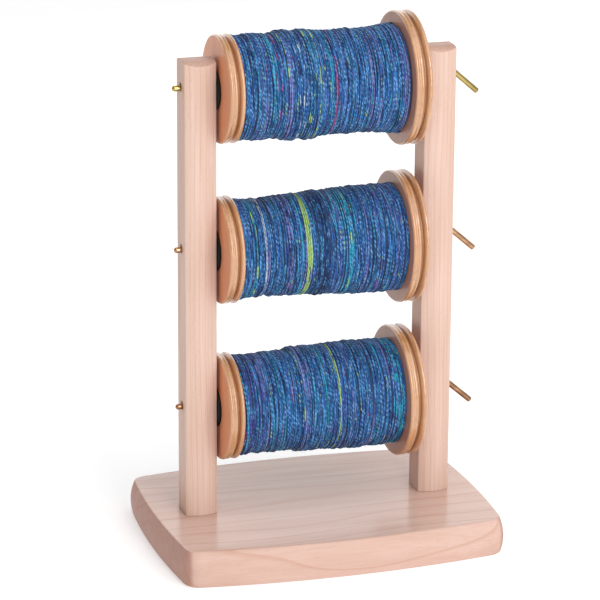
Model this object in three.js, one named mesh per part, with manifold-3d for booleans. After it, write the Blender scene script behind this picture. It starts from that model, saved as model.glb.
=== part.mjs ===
// Upright lazy kate: a wooden rack that holds three full spinning-wheel bobbins on pull-out rods.
// Millimetres, +Z up, +X towards the rods' bent handles. The origin is on the surface that the rack
// stands on, under the middle of the base board.

import * as THREE from 'three';
import { mergeVertices } from 'three/addons/utils/BufferGeometryUtils.js';
import Module from 'manifold-3d';

const wasm = await Module();
wasm.setup();

// ---- Driving dimensions -------------------------------------------------------------------------

const FIT_GAP = 0.3; // left between pieces that touch or sit in one another

// Base board: a barrel-shaped plan with rounded corners. Its edge swells outwards all round.
const BASE_THICK = 32;
const BASE_HALF_LENGTH = 145.8; // of the top's line, as are the next four
const BASE_HALF_DEPTH = 106.3;
const BASE_END_BOW = 6.5; // how far the ends curve back by the corners
const BASE_FRONT_BOW = 12.4; // how far the front and back curve back by the corners
const BASE_CORNER_REACH = 11;
const BASE_END_SWELL = 3.5; // how far the ends swell past the top's line
const BASE_FRONT_SWELL = 6; // how far the front and back do
const BASE_SWELL_HEIGHT = 0.45; // where the swelling is greatest, as a share of the thickness
const BASE_SWELL_LOSS = 0.6; // share of the swelling that is gone again at the underside

// Uprights: flat sides, front and back faces bowed, tops rounded over to front and back.
const UPRIGHT_WIDTH = 28;
const UPRIGHT_INNER_X = 92.6;
const UPRIGHT_SIDE_DEPTH = 24;
const UPRIGHT_BOW = 3.5;
const UPRIGHT_HEIGHT = 402.5;
const UPRIGHT_TOP_FLAT = 10; // depth of the flat in the middle of the top
const UPRIGHT_TOP_R = 14; // radius of the rounding in front of the flat and behind it
const UPRIGHT_HOLE_R = 3.75;

// Bobbins: heights are of their axes above the base board's top.
const BOBBIN_HEIGHTS = { bottom: 93.9, middle: 234.5, top: 375.1 };
const SMALL_FLANGE = { radius: 46.5, outerX: -89.9, innerX: -76.4 };
const LARGE_FLANGE = { radius: 57.9, outerX: 84, innerX: 69 };
const RIM_BEAD = 2; // radius of the bead along each edge of a rim
const RIM_RIDGE = 0.34; // where a rim's broad ridge is, as a share of its width from the left
const RIM_RIDGE_LOW = 0.2; // how far the ridge stays below the beads
const RIM_GROOVE = 0.62; // where its groove is
const RIM_GROOVE_DEPTH = 4.2;
const BARREL_R = 17;
const BARREL_BORE_R = 12;
const BUSH_DISC_R = 17.5;
const BUSH_DISC_THICK = 1.9;
const BUSH_SPIGOT_LENGTH = 14;
const BUSH_BORE_R = 5.5;
// Outer radii of each winding, evenly spaced from the small flange to the large one.
const WINDING_R = {
  bottom: [43.8, 44, 44.2, 46, 46, 47.3, 47.5, 47.5],
  middle: [44.5, 42.9, 43.1, 44.4, 45.2, 47, 47.3, 47.5],
  top: [45.5, 45.2, 46.3, 46.8, 44.6, 44.5, 45.6, 48.2],
};

// Rods: straight wire with one end bent down as a handle.
const ROD_R = 2.5;
const ROD_PLAY = 0.2; // left above and below a rod where it carries a bobbin or lies in an upright
const ROD_TIP_PROUD = { bottom: 5.8, middle: 6.5, top: 7.5 }; // past the left upright
const HANDLE_LENGTH = 26.8;
const HANDLE_ANGLE = THREE.MathUtils.degToRad(41);
const HANDLE_BEND_R = 7;

// Screws: two under each upright, driven up through the base board.
const SCREW_SPACING = 14;
const SCREW_HEAD_R = 4.4;
const SCREW_SHANK_R = 2.3;
const SCREW_SUNK = 1.5; // head below the board's underside
const SCREW_HEAD_CONE = 2.6;
const SCREW_LENGTH = 56;
const SCREW_POINT = 5;

// Sides of round pieces, by how large they are.
const SIDES = { wide: 40, middling: 24, narrow: 14, wire: 10 };

const LEVELS = Object.keys(BOBBIN_HEIGHTS);
const uprightMiddleX = UPRIGHT_INNER_X + UPRIGHT_WIDTH / 2;
const uprightOuterX = UPRIGHT_INNER_X + UPRIGHT_WIDTH;
const bobbinZ = (level) => BASE_THICK + BOBBIN_HEIGHTS[level];
const rodZ = (level) => bobbinZ(level) + BUSH_BORE_R - ROD_R - ROD_PLAY;

// ---- Materials ----------------------------------------------------------------------------------

const finish = (color, roughness, metalness = 0) => () =>
  new THREE.MeshStandardMaterial({ color, roughness, metalness });
const beech = finish('#e3bd9c', 0.55);
const lacqueredWood = finish('#c98648', 0.3);
const brass = finish('#b8904a', 0.3, 1);
const blackPlastic = finish('#1b1b1d', 0.45);
const yarn = finish('#2f5f9e', 0.9);
const steel = finish('#9a9a9c', 0.35, 1);

// ---- Making and cutting solids ------------------------------------------------------------------

/** Keeps only positions, with shared vertices merged. */
function bare(geometry) {
  geometry.deleteAttribute('normal');
  geometry.deleteAttribute('uv');
  return mergeVertices(geometry, 1e-4);
}

function toSolid(geometry) {
  const merged = bare(geometry);
  return new wasm.Manifold(new wasm.Mesh({
    numProp: 3,
    vertProperties: Float32Array.from(merged.attributes.position.array),
    triVerts: Uint32Array.from(merged.index.array),
  }));
}

function toGeometry(solid) {
  const mesh = solid.getMesh();
  const geometry = new THREE.BufferGeometry();
  geometry.setAttribute('position', new THREE.BufferAttribute(mesh.vertProperties, 3));
  geometry.setIndex(new THREE.BufferAttribute(mesh.triVerts, 1));
  return geometry;
}

function cut(geometry, ...tools) {
  return toGeometry(tools.reduce((solid, tool) => solid.subtract(toSolid(tool)), toSolid(geometry)));
}

/** A solid of revolution about Y from a loop of [along, radius], which may run either way round. */
function lathed(loop, sides) {
  const points = loop.map(([along, radius]) => new THREE.Vector2(radius, along));
  if (THREE.ShapeUtils.isClockWise(points)) points.reverse();
  const onAxis = points[0].x === 0;
  if (!onAxis) points.push(points[0]);
  return new THREE.LatheGeometry(points, sides);
}

/** The same about X. */
const turned = (loop, sides) => lathed(loop, sides).rotateZ(-Math.PI / 2);

/** Points [along, radius] on an arc, angles in degrees from the radius direction towards +along. */
function arc(along, radius, r, fromDeg, toDeg, steps) {
  return Array.from({ length: steps + 1 }, (_, i) => {
    const angle = THREE.MathUtils.degToRad(fromDeg + ((toDeg - fromDeg) * i) / steps);
    return [along + r * Math.sin(angle), radius + r * Math.cos(angle)];
  });
}

// ---- Base board ---------------------------------------------------------------------------------

/** One quarter of the board's top line, from the middle of the +X end to the middle of the back. */
function baseQuarter() {
  const endX = (y) => BASE_HALF_LENGTH - BASE_END_BOW * (y / BASE_HALF_DEPTH) ** 2;
  const backY = (x) => BASE_HALF_DEPTH - BASE_FRONT_BOW * (x / BASE_HALF_LENGTH) ** 2;
  const cornerX = endX(backY(BASE_HALF_LENGTH));
  const cornerY = backY(cornerX);
  const y0 = cornerY - BASE_CORNER_REACH;
  const x0 = cornerX - BASE_CORNER_REACH;
  const steps = 5;
  const stretch = Array.from({ length: steps }, (_, i) => i / steps);
  const corner = new THREE.QuadraticBezierCurve(
    new THREE.Vector2(endX(y0), y0),
    new THREE.Vector2(cornerX, cornerY),
    new THREE.Vector2(x0, backY(x0)),
  );
  return [
    ...stretch.map((t) => new THREE.Vector2(endX(y0 * t), y0 * t)),
    ...corner.getPoints(6),
    ...stretch.map((t) => new THREE.Vector2(x0 * (1 - t), backY(x0 * (1 - t)))).slice(1),
  ];
}

function baseOutline() {
  const quarter = baseQuarter();
  const left = quarter.slice(1).reverse().map((p) => new THREE.Vector2(-p.x, p.y));
  const backHalf = [...quarter, new THREE.Vector2(0, BASE_HALF_DEPTH), ...left,
    new THREE.Vector2(-BASE_HALF_LENGTH, 0)];
  const frontHalf = backHalf.slice(1, -1).map((p) => new THREE.Vector2(-p.x, -p.y));
  return [...backHalf, ...frontHalf];
}

/** The swelling's share at a height, from 0 at the top to 1 at its greatest. */
function swellShare(height) {
  if (height > BASE_SWELL_HEIGHT) {
    return 1 - ((height - BASE_SWELL_HEIGHT) / (1 - BASE_SWELL_HEIGHT)) ** 2;
  }
  return 1 - BASE_SWELL_LOSS * ((BASE_SWELL_HEIGHT - height) / BASE_SWELL_HEIGHT) ** 2;
}

/** Moves each point of the extruded board outwards, square to the outline there. */
function swellBase(geometry, outline) {
  const position = geometry.attributes.position;
  const place = new THREE.Vector2();
  for (let i = 0; i < position.count; i += 1) {
    place.set(position.getX(i), position.getY(i));
    const at = outline.findIndex((p) => p.distanceTo(place) < 1e-4);
    const before = outline[(at + outline.length - 1) % outline.length];
    const line = outline[(at + 1) % outline.length].clone().sub(before).normalize();
    const share = swellShare(position.getZ(i) / BASE_THICK);
    const reach = share * Math.hypot(line.y * BASE_END_SWELL, line.x * BASE_FRONT_SWELL);
    position.setXY(i, place.x + line.y * reach, place.y - line.x * reach);
  }
  return geometry;
}

function baseBoard() {
  const outline = baseOutline();
  const shape = new THREE.Shape(outline);
  const board = new THREE.ExtrudeGeometry(shape, { depth: BASE_THICK, steps: 10, bevelEnabled: false });
  return cut(swellBase(board, outline), ...screwPlaces().map((place) => screwCutter(place)));
}

// ---- Uprights -----------------------------------------------------------------------------------

/** Plan of an upright, centred on its own axis. */
function uprightPlan() {
  const halfWidth = UPRIGHT_WIDTH / 2;
  const halfSide = UPRIGHT_SIDE_DEPTH / 2;
  const controlY = halfSide + 2 * UPRIGHT_BOW;
  const plan = new THREE.Shape();
  plan.moveTo(-halfWidth, -halfSide);
  plan.quadraticCurveTo(0, -controlY, halfWidth, -halfSide);
  plan.lineTo(halfWidth, halfSide);
  plan.quadraticCurveTo(0, controlY, -halfWidth, halfSide);
  plan.closePath();
  return plan;
}

/** Side view of an upright, [depth, height], with its top rounded down to front and back. */
function uprightSide() {
  const reach = UPRIGHT_SIDE_DEPTH / 2 + UPRIGHT_BOW + 1;
  const flat = UPRIGHT_TOP_FLAT / 2;
  const centre = UPRIGHT_HEIGHT - UPRIGHT_TOP_R;
  const low = Math.acos((reach - flat) / UPRIGHT_TOP_R);
  const side = new THREE.Shape();
  side.moveTo(-reach, 0);
  side.lineTo(reach, 0);
  side.absarc(flat, centre, UPRIGHT_TOP_R, low, Math.PI / 2, false);
  side.absarc(-flat, centre, UPRIGHT_TOP_R, Math.PI / 2, Math.PI - low, false);
  return side;
}

/** An upright between two X faces, bored for the rods and for its screws. */
function upright(middleX) {
  const plan = new THREE.ExtrudeGeometry(uprightPlan(), {
    depth: UPRIGHT_HEIGHT, bevelEnabled: false, curveSegments: 8,
  });
  const side = new THREE.ExtrudeGeometry(uprightSide(), {
    depth: UPRIGHT_WIDTH + 2, bevelEnabled: false, curveSegments: 6,
  }).translate(0, 0, -UPRIGHT_WIDTH / 2 - 1).rotateX(Math.PI / 2).rotateZ(Math.PI / 2);
  const post = toGeometry(toSolid(plan).intersect(toSolid(side)));
  post.translate(middleX, 0, BASE_THICK);
  const rodHoles = LEVELS.map((level) =>
    new THREE.CylinderGeometry(UPRIGHT_HOLE_R, UPRIGHT_HOLE_R, UPRIGHT_WIDTH + 2, SIDES.narrow)
      .rotateZ(Math.PI / 2)
      .translate(middleX, 0, rodZ(level) + UPRIGHT_HOLE_R - ROD_R - ROD_PLAY));
  const screws = screwPlaces().filter((place) => place.x === middleX);
  return cut(post, ...rodHoles, ...screws.map((place) => screwCutter(place)));
}

// ---- Screws -------------------------------------------------------------------------------------

/** Where each screw stands: two under each upright, one towards the front and one towards the back. */
function screwPlaces() {
  return [-uprightMiddleX, uprightMiddleX].flatMap((x) =>
    [-SCREW_SPACING / 2, SCREW_SPACING / 2].map((y) => ({ x, y })));
}

/** A countersunk screw on its head, from the head's face up to its point, grown sideways by gap. */
function screwSide(gap) {
  const tip = SCREW_SUNK + SCREW_LENGTH;
  return [
    [SCREW_SUNK, SCREW_HEAD_R + gap],
    [SCREW_SUNK + SCREW_HEAD_CONE, SCREW_SHANK_R + gap],
    [tip - SCREW_POINT, SCREW_SHANK_R + gap],
    [tip + gap, 0],
  ];
}

/** Turns an outline about the upward line through a screw's place. */
const stood = (loop, { x, y }) => lathed(loop, SIDES.narrow).rotateX(Math.PI / 2).translate(x, y, 0);

/** A screw's hole, open through the underside of the base board. */
const screwCutter = (place) =>
  stood([[-1, 0], [-1, SCREW_HEAD_R + FIT_GAP], ...screwSide(FIT_GAP)], place);

function screw(place) {
  const arm = { length: SCREW_HEAD_R * 1.1, width: 1.1, depth: 1.6 };
  const bar = (length, width) => new THREE.BoxGeometry(length, width, 2 * arm.depth)
    .translate(place.x, place.y, SCREW_SUNK);
  const body = stood([[SCREW_SUNK, 0], ...screwSide(0)], place);
  return cut(body, bar(arm.length, arm.width), bar(arm.width, arm.length));
}

// ---- Bobbins: each is modelled about the X axis and lifted to its height --------------------------

/** A flange. From the left its rim has a bead, a broad ridge, a groove and another bead. */
function flange({ radius, outerX, innerX }) {
  const x0 = Math.min(outerX, innerX);
  const x1 = Math.max(outerX, innerX);
  const across = (share) => THREE.MathUtils.lerp(x0, x1, share);
  const boreR = BARREL_R + FIT_GAP;
  return turned([
    [x0, boreR],
    ...arc(x0 + RIM_BEAD, radius - RIM_BEAD, RIM_BEAD, -90, 45, 4),
    [across(RIM_RIDGE), radius - RIM_RIDGE_LOW],
    [across(RIM_GROOVE), radius - RIM_GROOVE_DEPTH],
    ...arc(x1 - RIM_BEAD, radius - RIM_BEAD, RIM_BEAD, -60, 90, 4),
    [x1, boreR],
  ], SIDES.wide);
}

/** The tube that joins the flanges. */
function barrel() {
  const x0 = SMALL_FLANGE.outerX + FIT_GAP;
  const x1 = LARGE_FLANGE.outerX - FIT_GAP;
  return turned([[x0, BARREL_BORE_R], [x1, BARREL_BORE_R], [x1, BARREL_R], [x0, BARREL_R]],
    SIDES.middling);
}

/** A bearing bush: a disc that covers the barrel's end and a spigot that sits in its bore. */
function bush({ outerX, innerX }) {
  const outwards = Math.sign(outerX - innerX);
  const spigotR = BARREL_BORE_R - FIT_GAP;
  const loop = [
    [-BUSH_SPIGOT_LENGTH, BUSH_BORE_R],
    [BUSH_DISC_THICK + FIT_GAP, BUSH_BORE_R],
    [BUSH_DISC_THICK + FIT_GAP, BUSH_DISC_R],
    [FIT_GAP, BUSH_DISC_R],
    [FIT_GAP, spigotR],
    [-BUSH_SPIGOT_LENGTH, spigotR],
  ];
  return turned(loop.map(([along, r]) => [outerX + outwards * along, r]), SIDES.middling);
}

/** The yarn wound between the flanges. */
function winding(radii) {
  const x0 = SMALL_FLANGE.innerX + FIT_GAP;
  const x1 = LARGE_FLANGE.innerX - FIT_GAP;
  const inner = BARREL_R + FIT_GAP;
  const step = (x1 - x0) / (radii.length - 1);
  const outside = radii.map((radius, i) => [x0 + i * step, radius]);
  return turned([[x0, inner], ...outside, [x1, inner]], SIDES.wide);
}

// ---- Rods ---------------------------------------------------------------------------------------

/** Centre line of a rod: straight from its tip, one round bend, then the straight handle. */
class RodLine extends THREE.Curve {
  static bendSteps = 5;

  static steps = RodLine.bendSteps + 2;

  constructor(tipX, z) {
    super();
    this.tip = new THREE.Vector3(tipX, 0, z);
    this.bendStart = new THREE.Vector3(uprightOuterX - 1, 0, z);
  }

  onBend(angle) {
    const over = HANDLE_BEND_R * Math.sin(angle);
    const down = HANDLE_BEND_R * (1 - Math.cos(angle));
    return this.bendStart.clone().add(new THREE.Vector3(over, 0, -down));
  }

  getPoint(t) {
    const step = t * RodLine.steps;
    if (step <= 1) return this.tip.clone().lerp(this.bendStart, step);
    const bent = Math.min((step - 1) / RodLine.bendSteps, 1);
    const point = this.onBend(bent * HANDLE_ANGLE);
    const along = Math.max(step - 1 - RodLine.bendSteps, 0) * HANDLE_LENGTH;
    const direction = new THREE.Vector3(Math.cos(HANDLE_ANGLE), 0, -Math.sin(HANDLE_ANGLE));
    return point.addScaledVector(direction, along);
  }

  /** One step of the sweep for each stretch, however long it is. */
  getUtoTmapping(u) {
    return u;
  }
}

function rod(level) {
  const section = new THREE.Shape().absarc(0, 0, ROD_R, 0, 2 * Math.PI);
  return new THREE.ExtrudeGeometry(section, {
    extrudePath: new RodLine(-uprightOuterX - ROD_TIP_PROUD[level], rodZ(level)),
    steps: RodLine.steps,
    curveSegments: SIDES.wire,
  });
}

// ---- The whole kate -----------------------------------------------------------------------------

const kate = new THREE.Group();

function add(name, geometry, material, parent = kate) {
  const mesh = new THREE.Mesh(bare(geometry), material());
  mesh.name = name;
  parent.add(mesh);
}

add('base_board', baseBoard(), beech);
add('left_upright', upright(-uprightMiddleX), beech);
add('right_upright', upright(uprightMiddleX), beech);
for (const place of screwPlaces()) {
  const side = place.x < 0 ? 'left' : 'right';
  const end = place.y < 0 ? 'front' : 'back';
  add(`${side}_${end}_screw`, screw(place), steel);
}
for (const level of LEVELS) {
  add(`${level}_rod`, rod(level), brass);
  const bobbin = new THREE.Group();
  bobbin.position.z = bobbinZ(level);
  kate.add(bobbin);
  add(`${level}_small_flange`, flange(SMALL_FLANGE), lacqueredWood, bobbin);
  add(`${level}_large_flange`, flange(LARGE_FLANGE), lacqueredWood, bobbin);
  add(`${level}_barrel`, barrel(), lacqueredWood, bobbin);
  add(`${level}_left_bush`, bush(SMALL_FLANGE), blackPlastic, bobbin);
  add(`${level}_right_bush`, bush(LARGE_FLANGE), blackPlastic, bobbin);
  add(`${level}_yarn`, winding(WINDING_R[level]), yarn, bobbin);
}

export default kate;
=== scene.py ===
"""Looks for an upright lazy kate: a beech rack with three full bobbins on brass rods.

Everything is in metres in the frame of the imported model: +Z up, +X towards the rods' handles.
"""

import math

import bmesh
import bpy
import numpy as np
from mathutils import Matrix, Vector


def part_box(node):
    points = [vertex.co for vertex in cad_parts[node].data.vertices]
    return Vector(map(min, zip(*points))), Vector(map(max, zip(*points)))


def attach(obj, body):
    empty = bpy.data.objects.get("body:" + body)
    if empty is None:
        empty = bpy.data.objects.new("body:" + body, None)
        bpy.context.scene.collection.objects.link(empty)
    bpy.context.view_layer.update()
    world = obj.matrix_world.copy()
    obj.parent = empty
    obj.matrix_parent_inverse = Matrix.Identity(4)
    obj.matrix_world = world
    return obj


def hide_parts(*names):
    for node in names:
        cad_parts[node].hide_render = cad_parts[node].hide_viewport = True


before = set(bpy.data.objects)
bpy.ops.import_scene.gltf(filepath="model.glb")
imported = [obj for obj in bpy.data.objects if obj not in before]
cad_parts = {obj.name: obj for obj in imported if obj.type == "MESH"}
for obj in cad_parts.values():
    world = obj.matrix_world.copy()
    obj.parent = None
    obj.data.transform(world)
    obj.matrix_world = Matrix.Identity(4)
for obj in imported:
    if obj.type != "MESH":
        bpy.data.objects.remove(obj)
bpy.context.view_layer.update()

MM = 0.001
LEVELS = ("bottom", "middle", "top")
SIDES = ("left", "right")
SCREWS = [f"{side}_{end}_screw" for side in SIDES for end in ("front", "back")]
FIT_GAP = 0.3 * MM
CREASE_ANGLE = math.radians(40)
MERGE_DISTANCE = 1e-7


# ---- Shared measures, worked out from the frame --------------------------------------------------


def lowest(node):
    return np.array(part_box(node)[0])


def highest(node):
    return np.array(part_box(node)[1])


def axis_height(level):
    """Height of a bobbin's axis."""
    flange = f"{level}_large_flange"
    return (lowest(flange)[2] + highest(flange)[2]) / 2


BASE_TOP = highest("base_board")[2]
ROD_R = (highest("top_rod")[1] - lowest("top_rod")[1]) / 2
ROD_RISE = highest("top_rod")[2] - ROD_R - axis_height("top")  # a rod's axis over its bobbin's


# ---- Mesh helpers --------------------------------------------------------------------------------


def add_object(name, data):
    obj = bpy.data.objects.new(name, data)
    bpy.context.scene.collection.objects.link(obj)
    return obj


def set_shading(mesh):
    """Smooth shading, with edges sharper than the crease angle left sharp."""
    mesh.shade_smooth()
    mesh.set_sharp_from_angle(angle=CREASE_ANGLE)


def mesh_object(name, points, faces, materials=()):
    """A closed mesh with its faces turned outwards."""
    mesh = bpy.data.meshes.new(name)
    mesh.from_pydata([tuple(p) for p in points], [], [tuple(f) for f in faces])
    work = bmesh.new()
    work.from_mesh(mesh)
    bmesh.ops.remove_doubles(work, verts=work.verts, dist=MERGE_DISTANCE)
    bmesh.ops.recalc_face_normals(work, faces=work.faces)
    work.to_mesh(mesh)
    work.free()
    set_shading(mesh)
    for material in materials:
        mesh.materials.append(material)
    return add_object(name, mesh)


def grid_quads(rows, columns, close_rows=False, close_columns=False):
    """Quads over a grid of points kept row by row, as an array."""
    row = np.arange(rows if close_rows else rows - 1)
    column = np.arange(columns if close_columns else columns - 1)
    i, j = np.meshgrid(row, column, indexing="ij")
    i2, j2 = (i + 1) % rows, (j + 1) % columns
    quads = [i * columns + j, i * columns + j2, i2 * columns + j2, i2 * columns + j]
    return np.stack(quads, -1).reshape(-1, 4)


def grid_faces(rows, columns, first=0, **closing):
    """The same quads as lists, for points that start at number first."""
    return (grid_quads(rows, columns, **closing) + first).tolist()


def end_faces(count, sides):
    """The two faces that close a stack of rings: its first ring and its last."""
    return [list(range(sides)), list(range(count - sides, count))]


def full_circle(sides):
    return np.linspace(0, 2 * math.pi, sides, endpoint=False)


def curve_between(a, b, c, d, t):
    """The Catmull-Rom curve from b to c, with a before them and d after."""
    return b + 0.5 * t * (c - a + t * (2 * a - 5 * b + 4 * c - d + t * (3 * (b - c) + d - a)))


def turned(name, profile, height, material, sides, capped=False):
    """A solid of revolution about X from a profile of (x, radius), closed on itself or capped."""
    profile = np.array(profile)
    angle = full_circle(sides)
    x = np.repeat(profile[:, 0], sides)
    y = np.outer(profile[:, 1], np.sin(angle)).ravel()
    z = np.outer(profile[:, 1], np.cos(angle)).ravel() + height
    faces = grid_faces(len(profile), sides, close_rows=not capped, close_columns=True)
    if capped:
        faces += end_faces(len(x), sides)
    return mesh_object(name, np.stack([x, y, z], -1), faces, [material])


def quarter(centre, radius, from_deg, to_deg):
    """Points (x, radius) of an arc about centre; 0 degrees is +x and 90 is outwards."""
    angle = np.radians(np.linspace(from_deg, to_deg, 9))
    return [(centre[0] + radius * math.cos(a), centre[1] + radius * math.sin(a)) for a in angle]


def made_real(obj):
    """Puts the object's modifiers into its mesh."""
    depsgraph = bpy.context.evaluated_depsgraph_get()
    mesh = bpy.data.meshes.new_from_object(obj.evaluated_get(depsgraph), depsgraph=depsgraph)
    obj.modifiers.clear()
    obj.data = mesh
    set_shading(mesh)


def cut_with(obj, cutters):
    """Cuts the cutters out of the object, and removes them."""
    for cutter in cutters:
        modifier = obj.modifiers.new("cut", "BOOLEAN")
        modifier.operation = "DIFFERENCE"
        modifier.solver = "EXACT"
        modifier.object = cutter
    made_real(obj)
    for cutter in cutters:
        bpy.data.objects.remove(cutter)


# ---- Materials -----------------------------------------------------------------------------------


class Nodes:
    """Short ways to build one material's node tree."""

    def __init__(self, name, **fixed):
        self.material = bpy.data.materials.new(name)
        self.material.use_nodes = True
        self.tree = self.material.node_tree
        self.shader = self.tree.nodes["Principled BSDF"]
        for socket, value in fixed.items():
            self.shader.inputs[socket.replace("_", " ")].default_value = value

    def add(self, kind, **settings):
        node = self.tree.nodes.new(f"ShaderNode{kind}")
        for key, value in settings.items():
            setattr(node, key, value)
        return node

    def feed(self, source, target):
        """Gives a socket a number, a colour or another socket's output."""
        if isinstance(source, (int, float)):
            target.default_value = source
        elif isinstance(source, tuple):
            target.default_value = (*source, 1.0)
        else:
            self.tree.links.new(source, target)

    def maths(self, operation, a, b=0.0, c=0.0):
        node = self.add("Math", operation=operation)
        for value, socket in zip((a, b, c), node.inputs, strict=False):
            self.feed(value, socket)
        return node.outputs[0]

    def place(self, scale, shift=(0, 0, 0)):
        """Object coordinates, scaled along each axis."""
        mapping = self.add("Mapping")
        self.feed(self.add("TexCoord").outputs["Object"], mapping.inputs["Vector"])
        mapping.inputs["Scale"].default_value = scale
        mapping.inputs["Location"].default_value = shift
        return mapping.outputs[0]

    def split(self, vector):
        node = self.add("SeparateXYZ")
        self.feed(vector, node.inputs[0])
        return node.outputs[:]

    def noise(self, vector, detail, roughness=0.5):
        node = self.add("TexNoise")
        self.feed(vector, node.inputs["Vector"])
        node.inputs["Scale"].default_value = 1.0
        node.inputs["Detail"].default_value = detail
        node.inputs["Roughness"].default_value = roughness
        return node.outputs["Fac"]

    def noise_along(self, along, scale, shift=0.0, detail=1.0):
        """One-dimensional noise of a length."""
        node = self.add("TexNoise", noise_dimensions="1D")
        self.feed(self.maths("MULTIPLY_ADD", along, scale, shift), node.inputs["W"])
        node.inputs["Scale"].default_value = 1.0
        node.inputs["Detail"].default_value = detail
        return node.outputs["Fac"]

    def spread(self, value, low, high, to_low=0.0, to_high=1.0):
        """The value's place between low and high, smoothed and turned into to_low to to_high."""
        node = self.add("MapRange", interpolation_type="SMOOTHSTEP")
        for source, socket in zip((value, low, high, to_low, to_high), node.inputs, strict=False):
            self.feed(source, socket)
        return node.outputs[0]

    def ramp(self, value, stops):
        node = self.add("ValToRGB")
        elements = node.color_ramp.elements
        while len(elements) < len(stops):
            elements.new(1.0)
        for element, (position, colour) in zip(elements, stops, strict=True):
            element.position = position
            element.color = (*colour, 1.0)
        self.feed(value, node.inputs[0])
        return node.outputs["Color"]

    def mix(self, share, a, b):
        node = self.add("Mix", data_type="RGBA")
        self.feed(share, node.inputs["Factor"])
        self.feed(a, node.inputs[6])
        self.feed(b, node.inputs[7])
        return node.outputs[2]

    def bump(self, height, strength, distance, under=None):
        node = self.add("Bump")
        node.inputs["Strength"].default_value = strength
        node.inputs["Distance"].default_value = distance
        self.feed(height, node.inputs["Height"])
        if under is not None:
            self.feed(under, node.inputs["Normal"])
        return node.outputs["Normal"]

    def finish(self, colour=None, roughness=None, normal=None):
        for value, name in ((colour, "Base Color"), (roughness, "Roughness"), (normal, "Normal")):
            if value is not None:
                self.feed(value, self.shader.inputs[name])
        return self.material


AXES = "xyz"
BEECH_PALE = (0.690, 0.510, 0.435)
BEECH_WARM = (0.625, 0.435, 0.355)
BEECH_FIBRE = (0.54, 0.33, 0.24)
BEECH_LATE_WOOD = (0.48, 0.25, 0.17)
BEECH_FLECK = (0.44, 0.25, 0.17)
BEECH_END_GRAIN = (0.34, 0.145, 0.105)
LACQUER_PALE = (0.600, 0.310, 0.140)
LACQUER_WARM = (0.510, 0.235, 0.090)
LACQUER_FIBRE = (0.34, 0.135, 0.045)
# Painted shade for the bottom of a rim's groove.
GROOVE_SHADE = (0.20, 0.070, 0.020)


def grain_scale(along, across_per_m, along_per_m):
    """Noise scale for fibres that run along one axis."""
    return tuple(along_per_m if axis == along else across_per_m for axis in AXES)


def growth_rings(nodes, along, pith, ring_gap):
    """How much each point lies in the dark late wood of a growth ring round the pith line."""
    wander = nodes.noise(nodes.place(grain_scale(along, 14, 5), pith), detail=1)
    from_pith = nodes.split(nodes.place((1, 1, 1), tuple(-p for p in pith)))
    across = [length for length, axis in zip(from_pith, AXES, strict=True) if axis != along]
    squares = [nodes.maths("MULTIPLY", length, length) for length in across]
    distance = nodes.maths("SQRT", nodes.maths("ADD", *squares))
    distance = nodes.maths("MULTIPLY_ADD", wander, 2.6 * ring_gap, distance)
    ring = nodes.maths("FRACT", nodes.maths("DIVIDE", distance, ring_gap))
    return nodes.maths("MULTIPLY", nodes.spread(ring, 0.80, 0.965), nodes.spread(ring, 1.0, 0.97))


def beech(name, along, pith, ring_gap, ends, tint=(1.0, 1.0, 1.0), coat=0.12):
    """Pale, faintly pink beech under varnish. The growth rings run round the pith line.

    Pores and short ray flecks follow the grain. End grain is darker by ends, and the coat is
    full on level faces only.
    """
    nodes = Nodes(name, Coat_Roughness=0.20, Coat_IOR=1.5, Specular_IOR_Level=0.12)
    fibres = nodes.noise(nodes.place(grain_scale(along, 900, 16), pith), detail=4)
    tone = nodes.noise(nodes.place(grain_scale(along, 70, 5), pith), detail=3)
    flecks = nodes.noise(nodes.place(grain_scale(along, 1300, 170), pith), detail=1)
    late = growth_rings(nodes, along, pith, ring_gap)
    pale, warm = (tuple(np.multiply(colour, tint).tolist()) for colour in (BEECH_PALE, BEECH_WARM))
    colour = nodes.mix(nodes.spread(tone, 0.3, 0.7), pale, warm)
    colour = nodes.mix(nodes.spread(fibres, 0.35, 0.75, 0.0, 0.32), colour, BEECH_FIBRE)
    colour = nodes.mix(nodes.maths("MULTIPLY", late, 0.40), colour, BEECH_LATE_WOOD)
    colour = nodes.mix(nodes.spread(flecks, 0.66, 0.74, 0.0, 0.30), colour, BEECH_FLECK)
    facing = nodes.split(nodes.add("NewGeometry").outputs["Normal"])
    end_on = nodes.maths("ABSOLUTE", facing[AXES.index(along)])
    colour = nodes.mix(nodes.spread(end_on, 0.5, 0.8, 0.0, ends), colour, BEECH_END_GRAIN)
    nodes.feed(nodes.spread(facing[2], 0.80, 0.98, 0.06, coat), nodes.shader.inputs["Coat Weight"])
    rough = nodes.spread(fibres, 0.3, 0.7, 0.42, 0.56)
    return nodes.finish(colour, rough, nodes.bump(fibres, 0.25, 0.1 * MM))


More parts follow.
